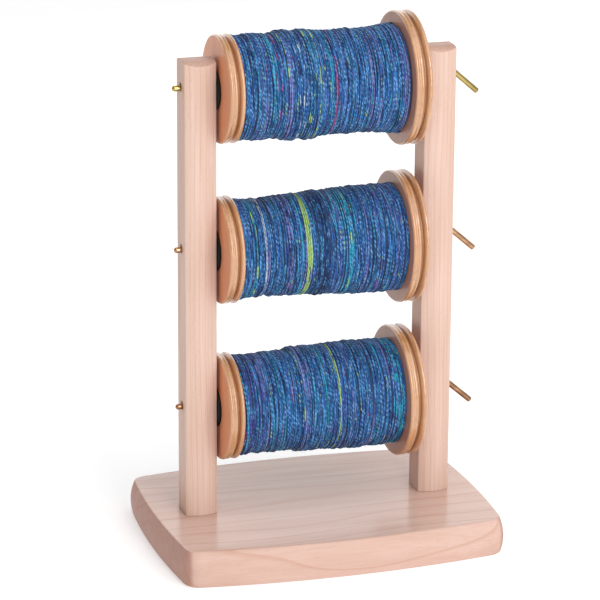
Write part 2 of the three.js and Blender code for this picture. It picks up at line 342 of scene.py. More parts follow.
def lacquered_wood(name, shift, face_colour_and_shade):
    """Golden lacquered wood for a flange: a glossy rim with painted shade in its groove, satin
    faces.
    """
    nodes = Nodes(name, Coat_Roughness=0.05, Coat_IOR=2.0, Specular_IOR_Level=0.3)
    fibres = nodes.noise(nodes.place((260, 1100, 30), shift), detail=4)
    tone = nodes.noise(nodes.place((40, 70, 9), shift), detail=3)
    colour = nodes.mix(nodes.spread(tone, 0.3, 0.7), LACQUER_PALE, LACQUER_WARM)
    colour = nodes.mix(nodes.spread(fibres, 0.4, 0.72, 0.0, 0.45), colour, LACQUER_FIBRE)
    facing = nodes.split(nodes.add("NewGeometry").outputs["Normal"])
    face = nodes.spread(nodes.maths("ABSOLUTE", facing[0]), 0.90, 0.99)
    # Flat faces take the face colour, which on the large flanges holds painted shade.
    colour = nodes.mix(nodes.maths("MULTIPLY", face, 0.7), colour, face_colour_and_shade)
    deep = nodes.add("Attribute", attribute_name="deep").outputs["Fac"]
    # Painted shade: the rim darkens with depth in its groove.
    colour = nodes.mix(nodes.spread(deep, 0.35, 1.0, 0.0, 0.48), colour, GROOVE_SHADE)
    nodes.feed(nodes.spread(face, 0.0, 1.0, 1.0, 0.12), nodes.shader.inputs["Coat Weight"])
    rough = nodes.spread(fibres, 0.3, 0.7, 0.34, 0.46)
    return nodes.finish(colour, rough, nodes.bump(fibres, 0.12, 0.08 * MM))


# The rods' metals, bright and tarnished. The reddish brass is a painted reflection tint for the
# lower two rods.
YELLOW_BRASS = ((0.54, 0.42, 0.15), (0.30, 0.23, 0.07))
REFLECTION_TINTED_BRASS = ((0.62, 0.36, 0.20), (0.34, 0.18, 0.10))


def brass(name, bright, tarnished):
    """Drawn brass rod: fine lengthwise lines and faint tarnish."""
    nodes = Nodes(name, Metallic=1.0)
    lines = nodes.noise(nodes.place((25, 3500, 3500)), detail=2)
    tarnish = nodes.noise(nodes.place((60, 160, 160)), detail=4)
    colour = nodes.mix(nodes.spread(tarnish, 0.35, 0.7), bright, tarnished)
    rough = nodes.spread(tarnish, 0.3, 0.75, 0.09, 0.22)
    return nodes.finish(colour, rough, nodes.bump(lines, 0.15, 0.03 * MM))


def black_plastic():
    """Moulded black plastic with a fine sparked texture."""
    nodes = Nodes("black_plastic", Specular_IOR_Level=0.15)
    grain = nodes.noise(nodes.place((2200, 2200, 2200)), detail=2)
    scuffs = nodes.noise(nodes.place((120, 120, 120)), detail=4)
    colour = nodes.mix(nodes.spread(scuffs, 0.5, 0.8), (0.006, 0.006, 0.007), (0.018, 0.018, 0.018))
    rough = nodes.spread(scuffs, 0.3, 0.7, 0.34, 0.5)
    return nodes.finish(colour, rough, nodes.bump(grain, 0.2, 0.04 * MM))


def screw_steel():
    """Zinc-plated steel with slight blotches."""
    nodes = Nodes("screw_steel", Metallic=1.0)
    blotches = nodes.noise(nodes.place((500, 500, 500)), detail=4)
    colour = nodes.mix(nodes.spread(blotches, 0.35, 0.7), (0.62, 0.62, 0.60), (0.45, 0.45, 0.43))
    rough = nodes.spread(blotches, 0.3, 0.7, 0.28, 0.45)
    return nodes.finish(colour, rough, nodes.bump(blotches, 0.1, 0.03 * MM))


# Dye colours of the yarn.
SHADE = (0.003, 0.008, 0.030)
NAVY = (0.006, 0.022, 0.095)
DEEP_BLUE = (0.013, 0.064, 0.240)
ROYAL = (0.022, 0.115, 0.410)
SKY = (0.055, 0.260, 0.600)
PALE_SKY = (0.170, 0.420, 0.780)
SLATE = (0.060, 0.115, 0.270)
TEAL = (0.008, 0.130, 0.220)
TURQUOISE = (0.025, 0.360, 0.520)
VIOLET = (0.065, 0.055, 0.310)
LILAC = (0.210, 0.190, 0.500)
PINK = (0.420, 0.060, 0.230)
LIME = (0.400, 0.600, 0.100)
CREAM = (0.560, 0.640, 0.720)
DYES = [
    (0.00, TURQUOISE),
    (0.08, TEAL),
    (0.17, DEEP_BLUE),
    (0.25, SKY),
    (0.32, ROYAL),
    (0.40, NAVY),
    (0.47, DEEP_BLUE),
    (0.54, ROYAL),
    (0.60, TEAL),
    (0.66, SKY),
    (0.73, DEEP_BLUE),
    (0.80, VIOLET),
    (0.87, ROYAL),
    (0.94, SLATE),
    (1.00, LILAC),
]
# Stretches of one colour wound side by side: (x, half width, colour, how full).
STRETCHES = {
    "top": [
        (4 * MM, 0.8 * MM, PINK, 0.8),
        (-11 * MM, 0.8 * MM, LIME, 0.65),
        (-18 * MM, 3.5 * MM, LIME, 0.22),
        (-26 * MM, 5.0 * MM, CREAM, 0.20),
        (-45 * MM, 0.9 * MM, PINK, 0.6),
        (-38 * MM, 0.9 * MM, LIME, 0.45),
    ],
    "middle": [
        (-19 * MM, 2.7 * MM, LIME, 0.95),
        (-25 * MM, 1.2 * MM, TURQUOISE, 0.8),
        (-57 * MM, 0.9 * MM, CREAM, 0.85),
        (-65 * MM, 0.9 * MM, LIME, 0.4),
        (17 * MM, 1.0 * MM, LIME, 0.45),
        (13 * MM, 1.5 * MM, TURQUOISE, 0.6),
        (-6 * MM, 9.0 * MM, NAVY, 0.7),
        (-36 * MM, 5.0 * MM, NAVY, 0.6),
    ],
    "bottom": [
        (9 * MM, 0.8 * MM, LIME, 0.85),
        (-24 * MM, 1.3 * MM, LIME, 0.35),
        (-17 * MM, 3.0 * MM, LILAC, 0.45),
        (62 * MM, 6.0 * MM, TURQUOISE, 0.5),
        (-66 * MM, 9.0 * MM, VIOLET, 0.6),
        (20 * MM, 2.5 * MM, LILAC, 0.4),
    ],
}
# The two plies: the place of a ply's dyes, then its flecks as (colour, place, how often per metre,
# the level at which they start, how full).
PLIES = [
    (31.0, [(LIME, 5.0, 30.0, 0.70, 0.85), (PALE_SKY, 7.0, 60.0, 0.54, 0.80)]),
    (57.0, [(PINK, 9.0, 22.0, 0.71, 0.80), (NAVY, 8.0, 40.0, 0.50, 0.70)]),
]
PLY_PITCH = 4.4 * MM  # length of yarn in which its two plies turn once round each other


def ply_colour(nodes, along, seed, dye_place, flecks):
    """A ply's colour: slow changes along the roving, quicker ones of its own, and its flecks."""
    slow = nodes.noise_along(along, 0.6, seed)
    quick = nodes.noise_along(along, 8.0, seed + dye_place, 3.0)
    both = nodes.maths("MULTIPLY_ADD", slow, 0.55, nodes.maths("MULTIPLY", quick, 0.45))
    colour = nodes.ramp(nodes.spread(both, 0.33, 0.67), DYES)
    for accent, place, per_m, start, full in flecks:
        level = nodes.noise_along(along, per_m, seed + place, 2.0)
        share = nodes.maths("MULTIPLY", nodes.spread(level, start, start + 0.05), full)
        colour = nodes.mix(share, colour, accent)
    return colour


def with_stretches(nodes, colour, along, seed, stretches):
    """The colour with stretches of one colour over it, wavering in place and broken up."""
    breaks = nodes.noise_along(along, 45.0, seed + 3.0, 2.0)
    waver = nodes.noise_along(along, 12.0, seed + 2.0)
    waver = nodes.maths("MULTIPLY_ADD", waver, 3 * MM, -1.5 * MM)
    x = nodes.maths("ADD", nodes.split(nodes.place((1, 1, 1)))[0], waver)
    for place, half_width, accent, full in stretches:
        away = nodes.maths("ABSOLUTE", nodes.maths("SUBTRACT", x, place))
        near = nodes.spread(away, half_width, 0.6 * half_width)
        gap = 0.72 - 0.4 * full
        kept = nodes.spread(breaks, gap, gap + 0.08, 0.0, 0.92)
        colour = nodes.mix(nodes.maths("MULTIPLY", near, kept), colour, accent)
    return colour


def with_streaks(nodes, colour, along, around):
    """The colour with pale and dark fibres over it, which run along the yarn."""
    at = nodes.add("CombineXYZ")
    nodes.feed(nodes.maths("MULTIPLY", along, 150.0), at.inputs[0])
    nodes.feed(nodes.maths("MULTIPLY", around, 6.0), at.inputs[1])
    streaks = nodes.noise(at.outputs[0], detail=3, roughness=0.6)
    colour = nodes.mix(nodes.spread(streaks, 0.52, 0.70, 0.0, 0.62), colour, PALE_SKY)
    return nodes.mix(nodes.spread(streaks, 0.47, 0.30, 0.0, 0.65), colour, NAVY)


def yarn_fibre(name, seed, stretches):
    """Two-ply variegated wool. It reads how far along the yarn a point is, and how far round it.

    The furrows between the plies and the strand's inner side are in shade.
    """
    nodes = Nodes(name, Sheen_Weight=0.10, Sheen_Roughness=0.4, Specular_IOR_Level=0.2)
    along = nodes.add("Attribute", attribute_name="along").outputs["Fac"]
    around = nodes.add("Attribute", attribute_name="around").outputs["Fac"]
    twist = nodes.maths("ADD", nodes.maths("DIVIDE", along, PLY_PITCH), around)
    ply = nodes.maths("SINE", nodes.maths("MULTIPLY", twist, 2 * math.pi))
    lobes = nodes.maths("ABSOLUTE", nodes.maths("SINE", nodes.maths("MULTIPLY", twist, math.pi)))
    plies = [ply_colour(nodes, along, seed, place, flecks) for place, flecks in PLIES]
    colour = nodes.mix(nodes.spread(ply, -0.6, 0.6, 0.15, 0.85), *plies)
    colour = with_stretches(nodes, colour, along, seed, stretches)
    colour = with_streaks(nodes, colour, along, around)
    colour = nodes.mix(nodes.spread(lobes, 0.0, 0.45, 0.55, 0.0), colour, SHADE)
    outwards = nodes.maths("COSINE", nodes.maths("MULTIPLY_ADD", around, 2 * math.pi, -math.pi))
    colour = nodes.mix(nodes.spread(outwards, 0.1, 0.85, 0.85, 0.0), colour, SHADE)
    fibres = nodes.noise(nodes.place((5200, 1600, 1600)), detail=2)
    normal = nodes.bump(fibres, 0.3, 0.06 * MM, nodes.bump(lobes, 0.6, 0.22 * MM))
    return nodes.finish(colour, 0.78, normal)


def yarn_core_shade():
    """The inside of a winding, seen only between its outer strands, coloured dark as painted shade.
    """
    nodes = Nodes("yarn_core_shade", Sheen_Weight=0.2)
    tone = nodes.noise(nodes.place((700, 60, 60)), detail=2)
    colour = nodes.mix(nodes.spread(tone, 0.3, 0.7), (0.008, 0.018, 0.06), (0.02, 0.05, 0.14))
    return nodes.finish(colour, 0.9, nodes.bump(tone, 0.5, 0.3 * MM))


# ---- Base board ----------------------------------------------------------------------------------

BASE_END_BOW = 6.5 * MM
BASE_FRONT_BOW = 12.4 * MM
BASE_CORNER_REACH = 11 * MM
BASE_END_SWELL = 3.5 * MM  # how far the ends swell past the top's line
BASE_FRONT_SWELL = 6 * MM
BASE_SWELL_HEIGHT = 0.45  # where the swelling is greatest, as a share of the thickness
BASE_SWELL_LOSS = 0.6  # share of the swelling that is gone again at the underside
BASE_EASE = 1.0 * MM  # radius of the eased top and bottom edges
BASE_PITH = (0.0, 14 * MM, -46 * MM)  # the tree's centre, under the board
BASE_RING_GAP = 14 * MM
BASE_TINT = (0.93, 0.87, 0.87)
SCREW_HEAD_R = 4.4 * MM
SCREW_SUNK = 1.5 * MM
COUNTERSINK_DEPTH = 4.6 * MM
SCREW_HOLE_R = 2 * MM
SCREW_HOLE_DEPTH = 8 * MM


def base_quarter(half_length, half_depth):
    """The board's top line from the middle of the +X end to the middle of the back."""

    def end_x(y):
        return half_length - BASE_END_BOW * (y / half_depth) ** 2

    def back_y(x):
        return half_depth - BASE_FRONT_BOW * (x / half_length) ** 2

    corner_x = end_x(back_y(half_length))
    corner = np.array([corner_x, back_y(corner_x)])
    y0, x0 = corner[1] - BASE_CORNER_REACH, corner[0] - BASE_CORNER_REACH
    start, end = np.array([end_x(y0), y0]), np.array([x0, back_y(x0)])
    t = np.linspace(0, 1, 17)[:, None]
    bend = (1 - t) ** 2 * start + 2 * t * (1 - t) * corner + t**2 * end
    side = [(end_x(y), y) for y in np.linspace(0, y0, 14)[:-1]]
    back = [(x, back_y(x)) for x in np.linspace(x0, 0, 20)[1:]]
    return np.array([*side, *bend, *back])


def closed_outline(one_quarter):
    """The whole outline, anticlockwise, from its quarter in +X +Y."""
    half = np.vstack([one_quarter, (one_quarter[:-1] * (-1, 1))[::-1]])
    return np.vstack([half[:-1], (half * -1)[:-1]])


def outline_normals(outline):
    tangent = np.roll(outline, -1, 0) - np.roll(outline, 1, 0)
    normal = np.stack([tangent[:, 1], -tangent[:, 0]], -1)
    return normal / np.linalg.norm(normal, axis=1)[:, None]


def base_levels():
    """(inset, height) up the edge of the board, with its top and bottom edges eased."""
    ease, top = BASE_EASE, BASE_TOP
    angle = np.radians(np.linspace(0, 90, 6))
    low = [(ease * (1 - math.sin(a)), ease * (1 - math.cos(a))) for a in angle]
    wall = [(0.0, z) for z in np.linspace(ease, top - ease, 22)[1:-1]]
    high = [(inset, top - z) for inset, z in reversed(low)]
    return [(2 * ease, 0.0), *low, *wall, *high, (2 * ease, top)]


def screw_holes():
    """Cutters for the countersunk holes in the underside."""
    head = SCREW_HEAD_R + FIT_GAP
    steps = [
        (-1 * MM, head),
        (SCREW_SUNK, head),
        (COUNTERSINK_DEPTH, SCREW_HOLE_R),
        (SCREW_HOLE_DEPTH, SCREW_HOLE_R),
    ]
    angle = full_circle(40)
    faces = grid_faces(len(steps), len(angle), close_columns=True)
    faces += end_faces(len(steps) * len(angle), len(angle))
    cutters = []
    for node in SCREWS:
        x, y, _ = (lowest(node) + highest(node)) / 2
        points = [(x + r * math.cos(a), y + r * math.sin(a), z) for z, r in steps for a in angle]
        cutters.append(mesh_object("cutter", points, faces))
    return cutters


def swell_share(height):
    """The swelling's share at a height, from 0 at the top to 1 at its greatest."""
    if height > BASE_SWELL_HEIGHT:
        return 1 - ((height - BASE_SWELL_HEIGHT) / (1 - BASE_SWELL_HEIGHT)) ** 2
    return 1 - BASE_SWELL_LOSS * ((BASE_SWELL_HEIGHT - height) / BASE_SWELL_HEIGHT) ** 2


def base_board():
    half_length = highest("base_board")[0] - BASE_END_SWELL
    half_depth = highest("base_board")[1] - BASE_FRONT_SWELL
    outline = closed_outline(base_quarter(half_length, half_depth))
    normals = outline_normals(outline)
    swell = np.hypot(normals[:, 0] * BASE_END_SWELL, normals[:, 1] * BASE_FRONT_SWELL)
    points = []
    for inset, z in base_levels():
        reach = swell * swell_share(z / BASE_TOP) - inset
        ring = outline + normals * reach[:, None]
        points.append(np.column_stack([ring, np.full(len(ring), z)]))
    count = len(outline)
    faces = grid_faces(len(points), count, close_columns=True)
    faces += end_faces(count * len(points), count)
    material = beech("base_beech", "x", BASE_PITH, BASE_RING_GAP, 0.6, BASE_TINT, coat=0.8)
    board = mesh_object("board", np.vstack(points), faces, [material])
    cut_with(board, screw_holes())
    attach(board, "frame")
    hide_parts("base_board")


# ---- Uprights ------------------------------------------------------------------------------------

UPRIGHT_SIDE_DEPTH = 24 * MM
UPRIGHT_TOP_FLAT = 10 * MM
UPRIGHT_TOP_R = 14 * MM
UPRIGHT_EASE = 0.6 * MM
UPRIGHT_RING_GAP = 3.4 * MM
UPRIGHT_PITHS = {"left": (-0.17, 0.05, 0.0), "right": (0.19, 0.06, 0.0)}
HOLE_R = 3.75 * MM
HOLE_CHAMFER = 0.45 * MM
HOLE_PAST = 2 * MM  # how far the cutter stands out of the wood
ROD_LIFT = 0.2 * MM  # a rod's height over the bottom of its hole


def top_height(y, height):
    """Height of an upright's top over its depth: flat in the middle, then rounding down."""
    past = np.maximum(np.abs(y) - UPRIGHT_TOP_FLAT / 2, 0)
    return height - UPRIGHT_TOP_R + np.sqrt(UPRIGHT_TOP_R**2 - past**2)


def post_patches(half_width, crown, height):
    """The six faces of an upright as grids of points, about its own foot."""
    x = np.linspace(-half_width, half_width, 25)
    across = np.linspace(-1, 1, 31)
    up = np.linspace(0, 1, 7)
    side = UPRIGHT_SIDE_DEPTH / 2

    def depth(at):
        return side + (crown - side) * (1 - (at / half_width) ** 2)

    patches = []
    for sign in (-1, 1):
        xs, ts = np.meshgrid(x, up, indexing="ij")
        ys = sign * depth(xs)
        patches.append(np.stack([xs, ys, ts * top_height(ys, height)], -1))
        vs, ts = np.meshgrid(across, up, indexing="ij")
        xs, ys = np.full_like(vs, sign * half_width), vs * side
        patches.append(np.stack([xs, ys, ts * top_height(ys, height)], -1))
    xs, vs = np.meshgrid(x, across, indexing="ij")
    ys = vs * depth(xs)
    patches.append(np.stack([xs, ys, np.zeros_like(xs)], -1))
    patches.append(np.stack([xs, ys, top_height(ys, height)], -1))
    return patches


def rod_hole(middle_x, half_width, height):
    """A cutter along X, flared where it leaves the wood."""
    inner, outer = half_width - HOLE_CHAMFER, half_width + HOLE_PAST
    outer_r = HOLE_R + HOLE_CHAMFER + HOLE_PAST
    profile = [
        (middle_x - outer, outer_r),
        (middle_x - inner, HOLE_R),
        (middle_x + inner, HOLE_R),
        (middle_x + outer, outer_r),
    ]
    return turned("cutter", profile, height, None, 48, capped=True)


def upright(side):
    node = f"{side}_upright"
    low, high = lowest(node), highest(node)
    middle_x, half_width = (low[0] + high[0]) / 2, (high[0] - low[0]) / 2
    patches = post_patches(half_width, high[1], high[2] - low[2])
    points, faces = [], []
    for patch in patches:
        faces += grid_faces(patch.shape[0], patch.shape[1], first=len(points))
        points += (patch.reshape(-1, 3) + (middle_x, 0, low[2])).tolist()
    material = beech(f"{side}_beech", "z", UPRIGHT_PITHS[side], UPRIGHT_RING_GAP, 0.35)
    post = mesh_object(f"{side}_post", points, faces, [material])
    bevel = post.modifiers.new("ease", "BEVEL")
    bevel.width = UPRIGHT_EASE
    bevel.segments = 3
    bevel.limit_method = "ANGLE"
    bevel.angle_limit = math.radians(25)
    made_real(post)
    hole_rise = HOLE_R - ROD_R - ROD_LIFT
    heights = [axis_height(level) + ROD_RISE + hole_rise for level in LEVELS]
    cut_with(post, [rod_hole(middle_x, half_width, height) for height in heights])
    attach(post, "frame")
    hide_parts(node)


# ---- Bobbins -------------------------------------------------------------------------------------

# Colours of the flanges' flat faces: the small flange's is its own colour, the large flange's is
# darker as painted shade from the winding beside it.
FLANGE_FACES_AND_SHADE = {"small": (0.72, 0.26, 0.13), "large": (0.40, 0.185, 0.145)}
RIM_BEAD = 2 * MM
BARREL_R = 17 * MM
BUSH_BORE_R = 5.5 * MM
BUSH_SPIGOT_R = 11.7 * MM
BUSH_DISC = 1.9 * MM
BUSH_EASE = 0.5 * MM
# Across a rim between its beads' crowns: (share of the way, depth below the crowns). A hollow, a
# broad ridge, a slope, the groove and its steep right wall.
RIM_LINE = [
    (0.00, 0.0),
    (0.08, 0.25 * MM),
    (0.16, 0.75 * MM),
    (0.24, 0.55 * MM),
    (0.33, 0.25 * MM),
    (0.44, 0.60 * MM),
    (0.56, 2.40 * MM),
    (0.64, 4.20 * MM),
    (0.71, 4.20 * MM),
    (0.79, 2.00 * MM),
    (0.89, 0.45 * MM),
    (1.00, 0.0),
]


def smooth_through(knots, steps):
    """A smooth line of points through the knots (Catmull-Rom)."""
    knots = np.array(knots)
    ends = np.vstack([2 * knots[0] - knots[1], knots, 2 * knots[-1] - knots[-2]])
    line = [
        curve_between(*ends[start : start + 4], t)
        for start in range(len(knots) - 1)
        for t in np.arange(steps) / steps
    ]
    return [*line, knots[-1]]


def rim_profile(x0, x1, radius):
    """(x, radius) points across a rim, from the left face to the right one."""
    left, right = x0 + RIM_BEAD, x1 - RIM_BEAD
    line = smooth_through(RIM_LINE, 4)
    return [
        *quarter((left, radius - RIM_BEAD), RIM_BEAD, 180, 90),
        *[(left + (right - left) * share, radius - depth) for share, depth in line[1:-1]],
        *quarter((right, radius - RIM_BEAD), RIM_BEAD, 90, 0),
    ]


def mark_depth(mesh, height):
    """Stores how deep in the rim's groove each point lies, from 0 on the crowns to 1."""
    points = np.array([vertex.co for vertex in mesh.vertices])
    radius = np.hypot(points[:, 1], points[:, 2] - height)
    deepest = max(depth for _, depth in RIM_LINE)
    deep = np.clip((radius.max() - radius) / deepest, 0, 1)
    x = points[:, 0]
    deep[(x < x.min() + RIM_BEAD) | (x > x.max() - RIM_BEAD)] = 0
    mesh.attributes.new("deep", "FLOAT", "POINT").data.foreach_set("value", deep.astype(np.float32))


def flange(level, size, material):
    node = f"{level}_{size}_flange"
    low, high = lowest(node), highest(node)
    bore = BARREL_R + FIT_GAP
    rim = rim_profile(low[0], high[0], (high[2] - low[2]) / 2)
    profile = [(low[0], bore), *rim, (high[0], bore)]
    obj = turned(f"{level}_{size}_disc", profile, axis_height(level), material, 160)
    mark_depth(obj.data, axis_height(level))
    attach(obj, f"{level}_bobbin")
    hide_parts(node)


def bush(level, side, material):
    """A bearing bush, its disc against the flange and its spigot in the barrel."""
    node = f"{level}_{side}_bush"
    low, high = lowest(node), highest(node)
    outwards = 1 if side == "right" else -1
    face, inner_end = (high[0], low[0]) if side == "right" else (low[0], high[0])
    disc_r, ease = (high[2] - low[2]) / 2, BUSH_EASE
    rim = [
        (face - outwards * ease * (1 - math.sin(a)), disc_r - ease + ease * math.cos(a))
        for a in np.radians(np.linspace(90, 0, 5))
    ]
    profile = [
        (inner_end, BUSH_BORE_R),
        (face - outwards * ease, BUSH_BORE_R),
        (face, BUSH_BORE_R + ease),
        *rim,
        (face - outwards * BUSH_DISC, disc_r),
        (face - outwards * BUSH_DISC, BUSH_SPIGOT_R),
        (inner_end + outwards * ease, BUSH_SPIGOT_R),
        (inner_end, BUSH_SPIGOT_R - ease),
    ]
    obj = turned(f"{level}_{side}_bearing", profile, axis_height(level), material, 96)
    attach(obj, f"{level}_bobbin")
    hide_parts(node)


# ---- Yarn ----------------------------------------------------------------------------------------

SEEDS = {"bottom": 11, "middle": 23, "top": 37}
STRAND_R = 0.70 * MM
STRAND_SIDES = 6
HAIR_R = 0.07 * MM
HAIR_ROOT = 0.8 * MM  # how deep in the winding a hair starts
HAIRS = 420
STRAND_FLATNESS = 0.92  # a strand's height over its width
CORE_DEPTH = 2.1 * STRAND_R  # from the winding's surface down to its core, which is coloured as painted shade
STEPS_PER_TURN = 60
WINDING_END = 0.5 * MM  # kept clear beside each flange


def drift(rng, at, spacing, amount):
    """Smooth random change over at, with a new value every spacing."""
    low = at.min() - spacing
    count = int((at.max() - low) / spacing) + 4
    values = rng.normal(0, amount, count)
    place = (at - low) / spacing
    index = np.clip(place.astype(int), 1, count - 3)
    t = place - index
    return curve_between(*(values[index + k] for k in (-1, 0, 1, 2)), t)


def wound_profile(level):
    """(x, outer radius) along the CAD winding."""
    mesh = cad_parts[f"{level}_yarn"].data
    points = np.array([vertex.co for vertex in mesh.vertices])
    radius = np.hypot(points[:, 1], points[:, 2] - axis_height(level))
    places = np.round(points[:, 0], 4)
    return [(x, radius[places == x].max()) for x in np.unique(places)]


def winding_radius(level, x0, x1):
    """A function for the winding's outer radius at an x and an angle round the bobbin."""
    rng = np.random.default_rng(SEEDS[level])
    grid = np.linspace(x0, x1, 600)
    radius = np.interp(grid, *zip(*wound_profile(level), strict=True))
    reach = 20
    window = np.ones(2 * reach + 1) / (2 * reach + 1)
    radius = np.convolve(np.pad(radius, reach, "edge"), window, "valid")
    radius += drift(rng, grid, 6 * MM, 0.45 * MM) + drift(rng, grid, 2.5 * MM, 0.2 * MM)
    lean = rng.uniform(0, 2 * math.pi, 2)

    def at(x, angle):
        oval = 0.35 * MM * np.cos(2 * angle + lean[0] + x / (30 * MM))
        lobed = 0.2 * MM * np.cos(3 * angle + lean[1] - x / (18 * MM))
        return np.interp(x, grid, radius) + (oval + lobed)

    return at


def strand(rng, radius_at, x_from, x_to, turns, sunk, start):
    """One pass of the yarn: ring centres, their directions, thickness and length along the yarn."""
    turn = np.linspace(0, turns, int(turns * STEPS_PER_TURN) + 1)
    pace = np.exp(drift(rng, turn, 1.7, 0.35))
    share = np.cumsum(pace) / pace.sum()
    x = x_from + (x_to - x_from) * share + drift(rng, turn, 0.4, 0.75 * MM)
    x = np.clip(x, min(x_from, x_to), max(x_from, x_to))
    angle = 2 * math.pi * (turn + rng.uniform())
    slubs = 1 + drift(rng, turn, 0.06, 0.16) + drift(rng, turn, 0.9, 0.10)
    thick = STRAND_R * np.clip(slubs, 0.6, 1.6)
    radius = radius_at(x, angle) - sunk - thick + drift(rng, turn, 0.35, 0.22 * MM)
    centre = np.stack([x, radius * np.sin(angle), radius * np.cos(angle)], -1)
    step = np.linalg.norm(np.diff(centre, axis=0), axis=1)
    along = start + np.concatenate([[0], np.cumsum(step)])
    return centre, angle, thick, along


def strand_mesh(centre, angle, thick, along, sides=STRAND_SIDES):
    """Points, quads, and the along and around values of each quad's corners."""
    rings = len(centre)
    tangent = np.gradient(centre, axis=0)
    tangent /= np.linalg.norm(tangent, axis=1)[:, None]
    outward = np.stack([np.zeros(rings), np.sin(angle), np.cos(angle)], -1)
    sideways = np.cross(tangent, outward)
    turn = 2 * math.pi * np.arange(sides) / sides - math.pi
    spread = (
        np.cos(turn)[None, :, None] * outward[:, None] * STRAND_FLATNESS
        + np.sin(turn)[None, :, None] * sideways[:, None]
    )
    points = (centre[:, None] + thick[:, None, None] * spread).reshape(-1, 3)
    quads = grid_quads(rings, sides, close_columns=True)
    i, j = np.meshgrid(np.arange(rings - 1), np.arange(sides), indexing="ij")
    along_at = np.stack([along[i], along[i], along[i + 1], along[i + 1]], -1)
    around_at = np.stack([j, j + 1, j + 1, j], -1) / sides
    return points, quads, along_at.ravel(), around_at.ravel()


def winding_core(radius_at, x0, x1, bore):
    """A closed ring under the strands."""
    sides, steps = 120, 60
    xs, angles = np.meshgrid(np.linspace(x0, x1, steps), full_circle(sides), indexing="ij")
    radius = radius_at(xs, angles) - CORE_DEPTH
    xs = np.vstack([xs, xs[-1:], xs[:1]])
    angles = np.vstack([angles, angles[-1:], angles[:1]])
    radius = np.vstack([radius, np.full((2, sides), bore)])
    points = np.stack([xs, radius * np.sin(angles), radius * np.cos(angles)], -1).reshape(-1, 3)
    return points, grid_quads(steps + 2, sides, close_rows=True, close_columns=True)


def hairs(rng, radius_at, x0, x1):
    """Fine stray fibres that stand a little way out of the winding."""
    for _ in range(HAIRS):
        root, span = rng.uniform(x0, x1), rng.normal(0, 1.5 * MM)
        t = np.linspace(0, 1, 6)
        angle = rng.uniform(0, 2 * math.pi) + t * rng.uniform(0.04, 0.16) * rng.choice((-1, 1))
        x = np.clip(root + span * t, x0, x1)
        lift = rng.uniform(0.3, 1.5) * MM
        arch = (HAIR_ROOT + lift) * np.sin(t * rng.uniform(1.2, 2.8))
        radius = radius_at(x, angle) - HAIR_ROOT + arch
        centre = np.stack([x, radius * np.sin(angle), radius * np.cos(angle)], -1)
        along = np.full(len(t), rng.uniform(0, 60))
        yield strand_mesh(centre, angle, np.full(len(t), HAIR_R), along, 3)


def yarn_passes(rng, radius_at, x0, x1):
    """The strands that show: an even under-layer, a looser outer one, and a few that cross it."""
    plan = [
        # from, to, turns, how far sunk
        (x0, x1, 98, 0.95 * MM),
        (x1, x0, 76, 0.30 * MM),
        (x0, x1, 17, 0.0),
        (x1, x0, 9, 0.0),
    ]
    start = 0.0
    for x_from, x_to, turns, sunk in plan:
        made = strand(rng, radius_at, x_from, x_to, turns, sunk, start)
        start = made[3][-1]
        yield strand_mesh(*made)
    yield from hairs(rng, radius_at, x0, x1)


def joined(parts):
    """Several meshes of (points, quads, along, around) as one."""
    points, quads, along, around = zip(*parts, strict=True)
    firsts = np.cumsum([0, *(len(part) for part in points[:-1])])
    quads = [part + first for part, first in zip(quads, firsts, strict=True)]
    return [np.concatenate(values) for values in (points, quads, along, around)]


def yarn(level, fibre, depth):
    node = f"{level}_yarn"
    x0 = lowest(node)[0] + WINDING_END
    x1 = highest(node)[0] - WINDING_END
    radius_at = winding_radius(level, x0, x1)
    rng = np.random.default_rng(SEEDS[level] + 1)
    core = winding_core(radius_at, x0 - WINDING_END, x1 + WINDING_END, BARREL_R + FIT_GAP)
    core_faces, unused = len(core[1]), np.zeros(core[1].size)
    parts = [(*core, unused, unused), *yarn_passes(rng, radius_at, x0, x1)]
    points, quads, along, around = joined(parts)
    mesh = bpy.data.meshes.new(f"{level}_winding")
    mesh.from_pydata((points + (0, 0, axis_height(level))).tolist(), [], quads.tolist())
    for name, values in (("along", along), ("around", around)):
        attribute = mesh.attributes.new(name, "FLOAT", "CORNER")
        attribute.data.foreach_set("value", values.astype(np.float32))
    # The core takes the painted-shade material, the strands the fibre.
    mesh.materials.append(depth)
    mesh.materials.append(fibre)
    is_strand = np.arange(len(quads)) >= core_faces
    mesh.polygons.foreach_set("material_index", is_strand.astype(np.int32))
    mesh.shade_smooth()
    obj = add_object(f"{level}_winding", mesh)
    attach(obj, f"{level}_bobbin")
    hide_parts(node)


# ---- Rods ----------------------------------------------------------------------------------------

HANDLE_ANGLE = math.radians(41)
HANDLE_BEND_R = 7 * MM
HANDLE_LENGTH = 26.8 * MM
HANDLE_CHAMFER = 0.6 * MM
BEND_INSIDE = 1 * MM  # how far inside the right upright's face the bend starts


def rod_line(tip_x, bend_x, height):
    """(centre, direction angle, radius) of each ring from the rounded tip to the handle's end."""
    rings = [
        ((tip_x + ROD_R * (1 - math.cos(a)), height), 0.0, max(ROD_R * math.sin(a), 1e-5))
        for a in np.radians(np.linspace(0, 90, 9))
    ]
    rings += [((x, height), 0.0, ROD_R) for x in np.linspace(tip_x + ROD_R, bend_x, 12)[1:]]
    for angle in np.linspace(0, HANDLE_ANGLE, 13)[1:]:
        over = HANDLE_BEND_R * math.sin(angle)
        down = HANDLE_BEND_R * (1 - math.cos(angle))
        rings.append(((bend_x + over, height - down), angle, ROD_R))
    (x, z), angle, _ = rings[-1]
    for length, radius in (
        (HANDLE_LENGTH / 2, ROD_R),
        (HANDLE_LENGTH - HANDLE_CHAMFER, ROD_R),
        (HANDLE_LENGTH, ROD_R - HANDLE_CHAMFER),
    ):
        rings.append(((x + length * math.cos(angle), z - length * math.sin(angle)), angle, radius))
    return rings


